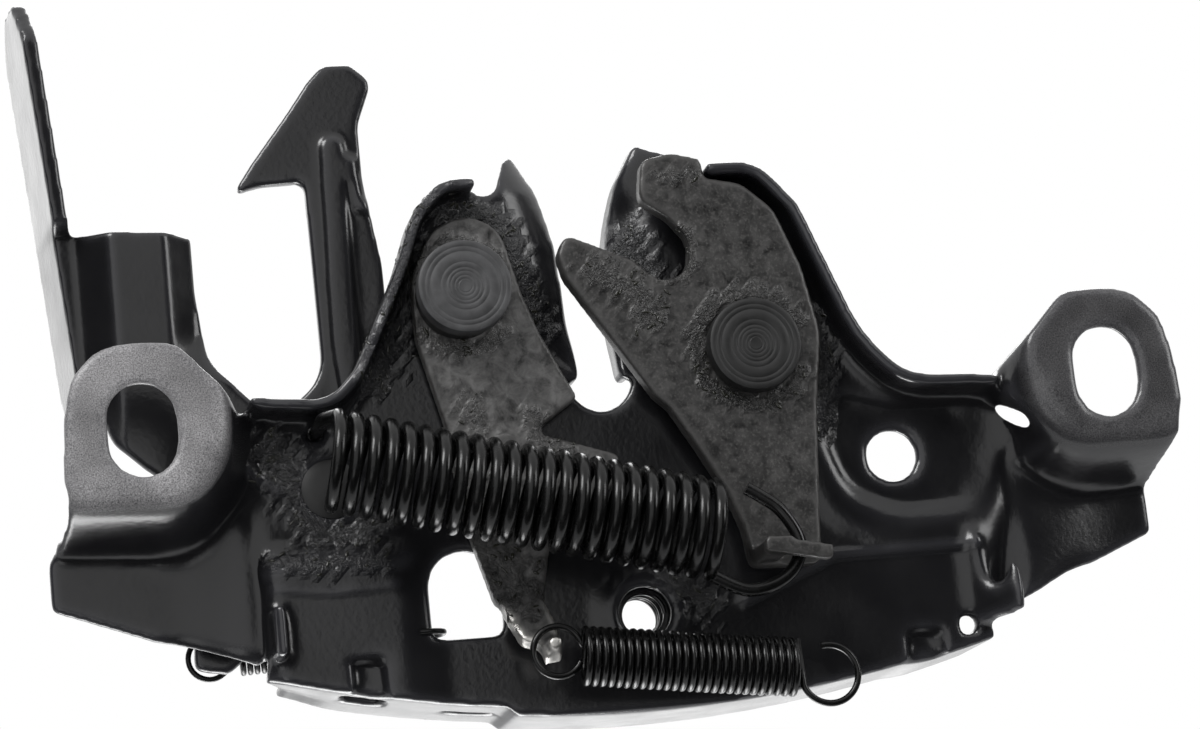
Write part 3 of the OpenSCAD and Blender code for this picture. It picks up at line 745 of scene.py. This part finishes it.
def turned_head(front, back, radius):
    """Profile of a turned head: a centre dimple, shallow rings and a broken rim."""
    profile = [(0, front + 0.05), (0.5, front + 0.05)]
    for r, wide, deep in HEAD_RINGS:
        profile += [(r - wide, front), (r - wide / 2, front + deep), (r + wide / 2, front + deep),
                    (r + wide, front)]
    return profile + [(radius - 0.4, front + 0.02), (radius - 0.12, front + 0.16),
                      (radius, front + 0.45), (radius, back - 0.15), (radius - 0.15, back)]


class LATCH_OT_rivets(bpy.types.Operator):
    """Turns the three pivot rivets and finishes the spacer and the washer"""

    bl_idname = "latch.rivets"
    bl_label = "Rivets"

    def execute(self, context):
        headed = turned_head(HEAD_FRONT, HEAD_BACK, HEAD_RADIUS) + SHANK
        for node, pivot, profile, light in (
                ("catch_rivet", CATCH_PIVOT, headed, looks().rivet_color),
                ("pawl_rivet", PAWL_PIVOT, headed, looks().rubbed_rivet_color),
                ("safety_rivet", LEVER_PIVOT, LEVER_RIVET, looks().rivet_color)):
            steel = turned_steel("turned_steel_" + node, pivot, light)
            piece = lathe(node + "_turned", profile, pivot, steel)
            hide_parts(node)
            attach(piece, "frame")
        dress(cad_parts["pawl_spacer"].data, steel)
        dress(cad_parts["safety_washer"].data, zinc_plated_steel())
        return {"FINISHED"}


# Springs


def coil(a, b, radius, turns, start, per_turn):
    """Points of a coil about the line from a to b, in millimetres, from a start in degrees."""
    a, b = np.array(a, float), np.array(b, float)
    axis = (b - a) / np.linalg.norm(b - a)
    up = np.cross((0, 1, 0), axis)
    up /= np.linalg.norm(up)
    side = np.cross(axis, up)
    t = np.linspace(0, 1, int(math.ceil(turns * per_turn)) + 1)
    w = np.radians(start + 360 * turns * t)
    turned = np.outer(np.cos(w), up) + np.outer(np.sin(w), side)
    return a + np.outer(t, b - a) + radius * turned


def smooth_through(points, steps=8):
    """A smooth line through points, without its last point."""
    p = np.array(points, float)
    line = []
    for i in range(len(p) - 1):
        a, b, c, d = p[max(i - 1, 0)], p[i], p[i + 1], p[min(i + 2, len(p) - 1)]
        for k in range(steps):
            t = k / steps
            line.append(0.5 * (2 * b + (c - a) * t + (2 * a - 5 * b + 4 * c - d) * t ** 2
                               + (3 * b - a - 3 * c + d) * t ** 3))
    return np.array(line)


def ring(centre, radius, a, b, steps):
    """Part of a ring in a plane that faces the viewer, between two angles in degrees."""
    w = np.radians(np.linspace(a, b, steps + 1))
    return np.array(centre) + radius * np.stack([np.cos(w), np.zeros_like(w), np.sin(w)], axis=1)


def node_group(name, inputs, output):
    """An empty Geometry Nodes group, and the sockets of its inputs."""
    tree = bpy.data.node_groups.new(name, "GeometryNodeTree")
    for title, kind in inputs:
        tree.interface.new_socket(title, in_out="INPUT", socket_type="NodeSocket" + kind)
    tree.interface.new_socket(output, in_out="OUTPUT", socket_type="NodeSocketGeometry")
    return tree, add(tree, "NodeGroupInput").outputs


def wire_tree():
    """Geometry Nodes: round wire of a given thickness along the object's own path."""
    tree, given = node_group("wound_wire", (
        ("Path", "Geometry"), ("Thickness", "Float"), ("Sides", "Int"), ("Finish", "Material")),
        "Wire")
    section = add(tree, "GeometryNodeCurvePrimitiveCircle", {
        "Resolution": given["Sides"], "Radius": times(tree, given["Thickness"], 0.5)})
    swept = add(tree, "GeometryNodeCurveToMesh", {
        "Curve": given["Path"], "Profile Curve": section.outputs["Curve"], "Fill Caps": True})
    shaded = add(tree, "GeometryNodeSetShadeSmooth", {"Geometry": swept.outputs["Mesh"]})
    real = add(tree, "GeometryNodeRealizeInstances", {"Geometry": shaded.outputs["Geometry"]})
    dressed = add(tree, "GeometryNodeSetMaterial", {
        "Geometry": real.outputs["Geometry"], "Material": given["Finish"]})
    add(tree, "NodeGroupOutput", {"Wire": dressed.outputs["Geometry"]})
    return tree


def grown(piece, tree, values):
    """The mesh that a Geometry Nodes group makes of an object, with inputs set by name."""
    modifier = piece.modifiers.new("grown", "NODES")
    modifier.node_group = tree
    for item in tree.interface.items_tree:
        if item.in_out == "INPUT" and item.name in values:
            modifier[item.identifier] = values[item.name]
    return baked(piece)


def wound(name, path, thickness, sides, finish, tree):
    """One wire along a path given in millimetres."""
    curve = bpy.data.curves.new(name, "CURVE")
    curve.dimensions = "3D"
    spline = curve.splines.new("POLY")
    spline.points.add(len(path) - 1)
    spline.points.foreach_set("co", np.hstack([path * MM, np.ones((len(path), 1))]).ravel())
    work = linked(name + "_path", curve)
    mesh = grown(work, tree, {"Thickness": thickness, "Sides": sides, "Finish": finish})
    bpy.data.objects.remove(work)
    bpy.data.curves.remove(curve)
    return keep(name, mesh, finish)


# The nut's thread in millimetres: middle, first and last depth, radius, pitch and wire.
NUT, NUT_FRONT, NUT_BACK = (3.3, -38.3), 2.2, 8.4
THREAD_RADIUS, THREAD_PITCH, THREAD_WIRE = 3.62, 1.25, 0.9


def thread_path(per_turn=40):
    """Points of the nut's thread."""
    k = np.arange(int((NUT_BACK - NUT_FRONT) / THREAD_PITCH * per_turn))
    w = 2 * np.pi * k / per_turn
    return np.stack([NUT[0] + THREAD_RADIUS * np.cos(w), NUT_FRONT + THREAD_PITCH * k / per_turn,
                     NUT[1] + THREAD_RADIUS * np.sin(w)], axis=1)


class LATCH_OT_springs(bpy.types.Operator):
    """Winds the three springs and the nut's thread"""

    bl_idname = "latch.springs"
    bl_label = "Springs"

    def execute(self, context):
        tree = wire_tree()
        finish = coated_spring_wire()
        y = -13.6
        body = coil((-46.2, y, -13.2), (12.8, y, -28.2), 7.05, 22.5, 180, 36)
        left = [(-46.5, 5.3, -2.75), (-46.4, 5.1, -4.75), (-46.2, 3.4, -5.85), (-46.2, -3, -5.95),
                (-46.2, -9, -5.95), body[0]]
        right = [body[-1], (16.4, y, -37.8), (20.7, y, -37.5), (24.3, y, -35.4), (26, y, -32.2),
                 (25.6, y, -29.2), (23.4, y, -25.6), (20.7, y, -23.4), (18.3, y, -21.8)]
        path = np.vstack([smooth_through(left), body, smooth_through(right)[1:]])
        piece = wound("catch_spring_wire", path, looks().catch_wire, 16, finish, tree)
        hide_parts("catch_spring")
        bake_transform(piece)

        y = -9.1
        body = coil((-9.1, y, -45.6), (24.5, y, -50), 4.175, 27, 180, 28)
        path = np.vstack([ring((-13, y, -44.6), 3.9, 330, 10, 30), body,
                          ring((29.6, y, -51.4), 4.6, 200, 460, 36)])
        piece = wound("pawl_spring_wire", path, looks().pawl_wire, 12, finish, tree)
        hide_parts("pawl_spring")
        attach(piece, "pawl")

        y = 12.5
        body = coil((-60, y, -38.6), (-38, y, -37.8), 2.75, 20, 180, 24)
        right = [body[-1], (-34, y - 1, -38.4), (-29.3, 5, -38.7), (-28.9, 0.6, -38.8),
                 (-30.4, -0.9, -38.8), (-33, -0.9, -38.8)]
        path = np.vstack([ring((-64.6, y, -38.6), 3.3, 330, 20, 30), body,
                          smooth_through(right)[1:]])
        piece = wound("safety_spring_wire", path, looks().safety_wire, 12, finish, tree)
        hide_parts("safety_spring")
        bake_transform(piece)

        coat = bpy.data.materials["electro_coated_steel"]
        piece = wound("nut_thread", thread_path(), THREAD_WIRE * MM, 6, coat, tree)
        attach(piece, "frame")
        return {"FINISHED"}


# Grease

SPECK_SIZE = 0.6  # millimetres
FIRST_SEED = 11


def grease_tree():
    """Geometry Nodes: flattened specks of grease where the surface is marked wet."""
    tree, given = node_group("grease_specks", (
        ("Surface", "Geometry"), ("Density", "Float"), ("Size", "Float"), ("Seed", "Int"),
        ("Finish", "Material")), "Specks")
    wet = add(tree, "GeometryNodeInputNamedAttribute", {"Name": "grease"}, data_type="FLOAT")
    where = add(tree, "GeometryNodeInputPosition").outputs["Position"]
    thick = ranged(tree, noise(tree, where, 3.0, 2.0), 0.48, 0.62)
    some = times(tree, wet.outputs["Attribute"], thick)
    strewn = add(tree, "GeometryNodeDistributePointsOnFaces", {
        "Mesh": given["Surface"], "Density": times(tree, some, given["Density"]),
        "Seed": given["Seed"]}, distribute_method="RANDOM")
    blob = add(tree, "GeometryNodeMeshUVSphere", {"Segments": 8, "Rings": 5, "Radius": 1.0})
    spread = add(tree, "FunctionNodeRandomValue", {
        "Min": (0.25, 0.25, 0.1), "Max": (1.5, 0.5, 0.3), "Seed": given["Seed"]},
        data_type="FLOAT_VECTOR")
    size = add(tree, "ShaderNodeVectorMath", {
        0: spread.outputs["Value"], "Scale": given["Size"]}, operation="SCALE")
    turn = add(tree, "FunctionNodeRandomValue", {
        2: 0.0, 3: 2 * math.pi, "Seed": given["Seed"]}, data_type="FLOAT")
    spin = add(tree, "FunctionNodeAxisAngleToRotation", {
        "Axis": (0.0, 0.0, 1.0), "Angle": turn.outputs[1]})
    lay = add(tree, "FunctionNodeRotateRotation", {
        "Rotation": strewn.outputs["Rotation"], "Rotate By": spin.outputs["Rotation"]},
        rotation_space="LOCAL")
    laid = add(tree, "GeometryNodeInstanceOnPoints", {
        "Points": strewn.outputs["Points"], "Instance": blob.outputs["Mesh"],
        "Rotation": lay.outputs["Rotation"], "Scale": size.outputs["Vector"]})
    real = add(tree, "GeometryNodeRealizeInstances", {"Geometry": laid.outputs["Instances"]})
    shaded = add(tree, "GeometryNodeSetShadeSmooth", {"Geometry": real.outputs["Geometry"]})
    dressed = add(tree, "GeometryNodeSetMaterial", {
        "Geometry": shaded.outputs["Geometry"], "Material": given["Finish"]})
    add(tree, "NodeGroupOutput", {"Specks": dressed.outputs["Geometry"]})
    return tree


class LATCH_OT_grease(bpy.types.Operator):
    """Strews grease specks over the wet places of the plate, the catch and the pawl"""

    bl_idname = "latch.grease"
    bl_label = "Grease"

    def execute(self, context):
        tree = grease_tree()
        finish = lithium_grease()
        hosts = (("pressed_plate", "frame"), ("catch_blank", "catch"), ("pawl_blank", "pawl"))
        for seed, (host, body) in enumerate(hosts, start=FIRST_SEED):
            work = linked("wet", bpy.data.objects[host].data)
            mesh = grown(work, tree, {"Density": looks().grease_density / MM ** 2,
                                      "Size": SPECK_SIZE * MM, "Seed": seed, "Finish": finish})
            bpy.data.objects.remove(work)
            if not mesh.polygons:
                raise RuntimeError("no grease was strewn on " + host)
            piece = keep("grease_on_" + body, mesh, finish)
            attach(piece, body)
        return {"FINISHED"}


# Studio, in metres

FLOOR_HALF = 4.0
FLAG_LOW, FLAG_HIGH = -0.45, 0.9

# Soft lamps that face the origin: name, place, size and power in watts.
SOFTBOXES = (("key_softbox", (-0.75, -0.7, 0.95), 0.6, 14.0),
             ("fill_softbox", (0.95, -0.6, 0.35), 0.5, 4.0),
             ("low_softbox", (-0.35, -0.6, -0.4), 0.4, 0.6),
             ("under_softbox", (-0.12, 0.36, -0.5), 0.4, 4.0),
             ("rear_left_softbox", (-0.4, 0.85, 0.2), 0.4, 0.6),
             ("rear_low_softbox", (0.2, 0.9, -0.35), 0.5, 0.9),
             ("rim_softbox", (0.2, 0.9, 0.8), 0.7, 6.0))

# The camera stands to the left and below, and is tilted, as in the photo.
CAMERA_YAW, CAMERA_PITCH, CAMERA_ROLL = math.radians(12), math.radians(12), math.radians(6)
CAMERA_DISTANCE = 0.56
CAMERA_LENS, CAMERA_SENSOR = 105, 36  # millimetres
CAMERA_RISE = 13.5 / 1200  # of the picture's width


def standing(a, b):
    """Corners of a card that stands on the line from a to b."""
    return [(*a, FLAG_LOW), (*b, FLAG_LOW), (*b, FLAG_HIGH), (*a, FLAG_HIGH)]


def lying(a, b):
    """Corners of a card that lies between the corners a and b."""
    return [(a[0], b[1], FLAG_LOW), (*b, FLAG_LOW), (b[0], a[1], FLAG_LOW), (*a, FLAG_LOW)]


# Black cards for flat faces to reflect, so that only the bends shine.
FLAGS = (("front_flag", standing((0.2, -1.3), (1.5, -1.3))),
         ("left_flag", standing((-1.3, 0.15), (-1.3, -1.1))),
         ("right_flag", standing((1.5, -1.3), (1.5, 0.15))),
         ("low_flag", lying((-1.0, -1.2), (1.4, -0.1))))


def card(name, corners, order, finish):
    """One flat card."""
    mesh = bpy.data.meshes.new(name)
    mesh.from_pydata(corners, [], [order])
    return keep(name, mesh, finish)


def set_surround(scene):
    """A surround that looks white, also in reflections, and lights the latch softly."""
    world = bpy.data.worlds.new("white_surround")
    scene.world = world
    world.use_nodes = True
    tree = world.node_tree
    tree.nodes.clear()
    rays = add(tree, "ShaderNodeLightPath").outputs
    seen = rays["Is Camera Ray"]
    for kind in ("Is Glossy Ray", "Is Transmission Ray"):
        seen = add(tree, "ShaderNodeMath", {0: seen, 1: rays[kind]},
                   operation="MAXIMUM").outputs["Value"]
    soft = add(tree, "ShaderNodeBackground", {"Color": linear("#f2f4f7"), "Strength": 0.45})
    white = add(tree, "ShaderNodeBackground", {"Color": (1, 1, 1, 1), "Strength": 1.0})
    shown = add(tree, "ShaderNodeMixShader", {
        0: seen, 1: soft.outputs["Background"], 2: white.outputs["Background"]})
    add(tree, "ShaderNodeOutputWorld", {"Surface": shown.outputs["Shader"]})


def set_floor():
    """The pale floor."""
    finish, tree = new_material("pale_studio_floor")
    grain = add(tree, "ShaderNodeTexNoise", {"Scale": per_mm(40), "Detail": 2.0}).outputs["Fac"]
    principled(tree, {"Base Color": linear("#f4f4f4"),
                      "Roughness": ranged(tree, grain, 0.0, 1.0, 0.6, 0.8)})
    half, drop = FLOOR_HALF, -looks().floor_drop
    corners = [(-half, -half, drop), (half, -half, drop), (half, half, drop), (-half, half, drop)]
    card("studio_floor", corners, (0, 1, 2, 3), finish)


def set_lamps():
    """The soft lamps."""
    for name, place, size, power in SOFTBOXES:
        lamp = bpy.data.lights.new(name, "AREA")
        lamp.size = size
        lamp.energy = power
        piece = linked(name, lamp)
        piece.location = place
        piece.rotation_euler = (-Vector(place)).to_track_quat("-Z", "Y").to_euler()


def set_flags():
    """The black cards, which only reflections show."""
    finish, tree = new_material("black_flag_felt")
    felt = add(tree, "ShaderNodeTexNoise", {"Scale": per_mm(8), "Detail": 3.0}).outputs["Fac"]
    principled(tree, {"Base Color": linear("#060606"), "Specular IOR Level": 0.1,
                      "Roughness": ranged(tree, felt, 0.0, 1.0, 0.8, 1.0)})
    for name, corners in FLAGS:
        flag = card(name, corners, (3, 2, 1, 0), finish)
        for ray in ("camera", "diffuse", "shadow", "transmission"):
            setattr(flag, "visible_" + ray, False)


def set_camera(scene):
    """The camera, which looks at the origin."""
    yaw, pitch, roll = CAMERA_YAW, CAMERA_PITCH, CAMERA_ROLL
    look = Vector((math.sin(yaw) * math.cos(pitch), math.cos(yaw) * math.cos(pitch),
                   math.sin(pitch)))
    level = Vector((math.cos(yaw), -math.sin(yaw), 0))
    upright = level.cross(look)
    right = math.cos(roll) * level - math.sin(roll) * upright
    up = math.sin(roll) * level + math.cos(roll) * upright
    lens = bpy.data.cameras.new("camera")
    lens.sensor_width = CAMERA_SENSOR
    lens.lens = CAMERA_LENS
    lens.shift_y = CAMERA_RISE
    lens.clip_start = 0.01
    camera = linked("camera", lens)
    turned = Matrix((right, up, -look)).transposed().to_4x4()
    camera.matrix_world = Matrix.Translation(-CAMERA_DISTANCE * look) @ turned
    scene.camera = camera


class LATCH_OT_stage(bpy.types.Operator):
    """Sets the white surround, the pale floor, the soft lamps, the black cards and the camera"""

    bl_idname = "latch.stage"
    bl_label = "Studio"

    def execute(self, context):
        context.scene.view_settings.view_transform = "Standard"
        set_surround(context.scene)
        set_floor()
        set_lamps()
        set_flags()
        set_camera(context.scene)
        return {"FINISHED"}


OPERATORS = (LATCH_OT_stage, LATCH_OT_plate, LATCH_OT_blanks, LATCH_OT_lever, LATCH_OT_rivets,
             LATCH_OT_springs, LATCH_OT_grease)


class LATCH_PT_looks(bpy.types.Panel):
    """Lists the latch's pieces and their finishes"""

    bl_label = "Bonnet latch"
    bl_idname = "LATCH_PT_looks"
    bl_space_type = "VIEW_3D"
    bl_region_type = "UI"
    bl_category = "Latch"

    def draw(self, context):
        for name in LatchLooks.__annotations__:
            self.layout.prop(context.scene.latch_looks, name)
        for kind in OPERATORS:
            self.layout.operator(kind.bl_idname)


CLASSES = (LatchLooks,) + OPERATORS + (LATCH_PT_looks,)


def register():
    for kind in CLASSES:
        bpy.utils.register_class(kind)
    bpy.types.Scene.latch_looks = bpy.props.PointerProperty(type=LatchLooks)


def unregister():
    del bpy.types.Scene.latch_looks
    for kind in reversed(CLASSES):
        bpy.utils.unregister_class(kind)


def main():
    register()
    for kind in OPERATORS:
        group, action = kind.bl_idname.split(".")
        getattr(getattr(bpy.ops, group), action)()


if __name__ == "__main__":
    main()
